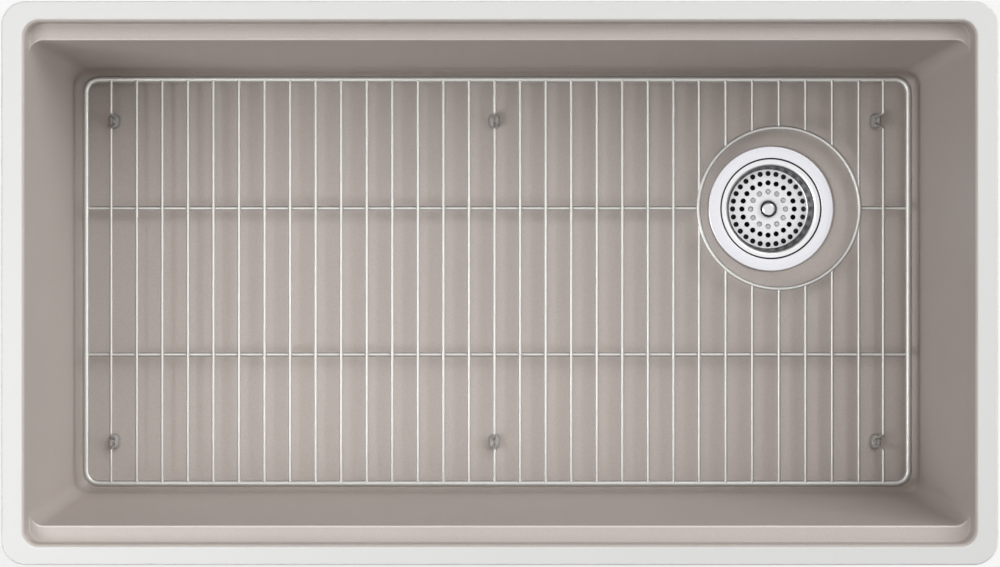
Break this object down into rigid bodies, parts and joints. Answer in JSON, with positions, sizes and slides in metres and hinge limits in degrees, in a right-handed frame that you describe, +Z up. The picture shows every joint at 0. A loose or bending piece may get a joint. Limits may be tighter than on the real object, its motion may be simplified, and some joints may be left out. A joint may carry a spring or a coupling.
{
  "type": "undermount kitchen sink",
  "caption": "Undermount single-bowl composite kitchen sink with front and back ledges, off-centre basket strainer, tailpiece and wire bottom rack on rubber boots.",
  "frame": {"origin": "centre of the rim's top plane, where the rim meets the counter's underside", "axes": "+X along the bowl towards the drain, +Y to the back wall, +Z up out of the bowl"},
  "size_m": [0.838, 0.474, 0.408],
  "materials": {
    "composite_stone": "matt moulded composite with a ground rim",
    "satin_steel": "satin stainless steel",
    "basket_steel": "drawn stainless steel",
    "polished_knob": "polished",
    "rack_steel": "electropolished stainless wire",
    "boot_rubber": "soft grey rubber",
    "stopper_rubber": "moulded black rubber",
    "sealing_rubber": "plain black rubber",
    "fibre_washer": "pressed fibre",
    "cast_brass": "as cast",
    "plated_tube": "polished plating",
    "white_plastic": "moulded white"
  },
  "bodies": {
    "sink": {"sink_bowl": "composite_stone", "strainer_body": "satin_steel", "flange_seal": "sealing_rubber", "outlet_cross": "satin_steel", "under_gasket": "sealing_rubber", "friction_washer": "fibre_washer", "lock_nut": "cast_brass", "tailpiece_washer": "white_plastic", "tailpiece": "plated_tube", "coupling_nut": "white_plastic"},
    "rack": {"rack_frame": "rack_steel", "rack_long_rods": "rack_steel", "rack_cross_bars": "rack_steel", "rack_leg_bars": "rack_steel", "rack_drain_ring": "rack_steel", "rack_boot_front_left": "boot_rubber", "rack_boot_back_left": "boot_rubber", "rack_boot_front_middle": "boot_rubber", "rack_boot_back_middle": "boot_rubber", "rack_boot_front_right": "boot_rubber", "rack_boot_back_right": "boot_rubber"},
    "basket": {"basket_cup": "basket_steel", "basket_knob": "polished_knob", "basket_post": "basket_steel", "basket_spacer": "white_plastic", "backing_washer": "basket_steel", "stopper_rubber": "stopper_rubber", "post_nut": "basket_steel"}
  },
  "joints": [
    {"name": "rack_lift", "type": "slide", "parent": "sink", "child": "rack", "axis": [0, 0, 1], "range_m": [0, 0.25]},
    {"name": "basket_lift", "type": "slide", "parent": "sink", "child": "basket", "axis": [0, 0, 1], "range_m": [0, 0.3]}
  ]
}
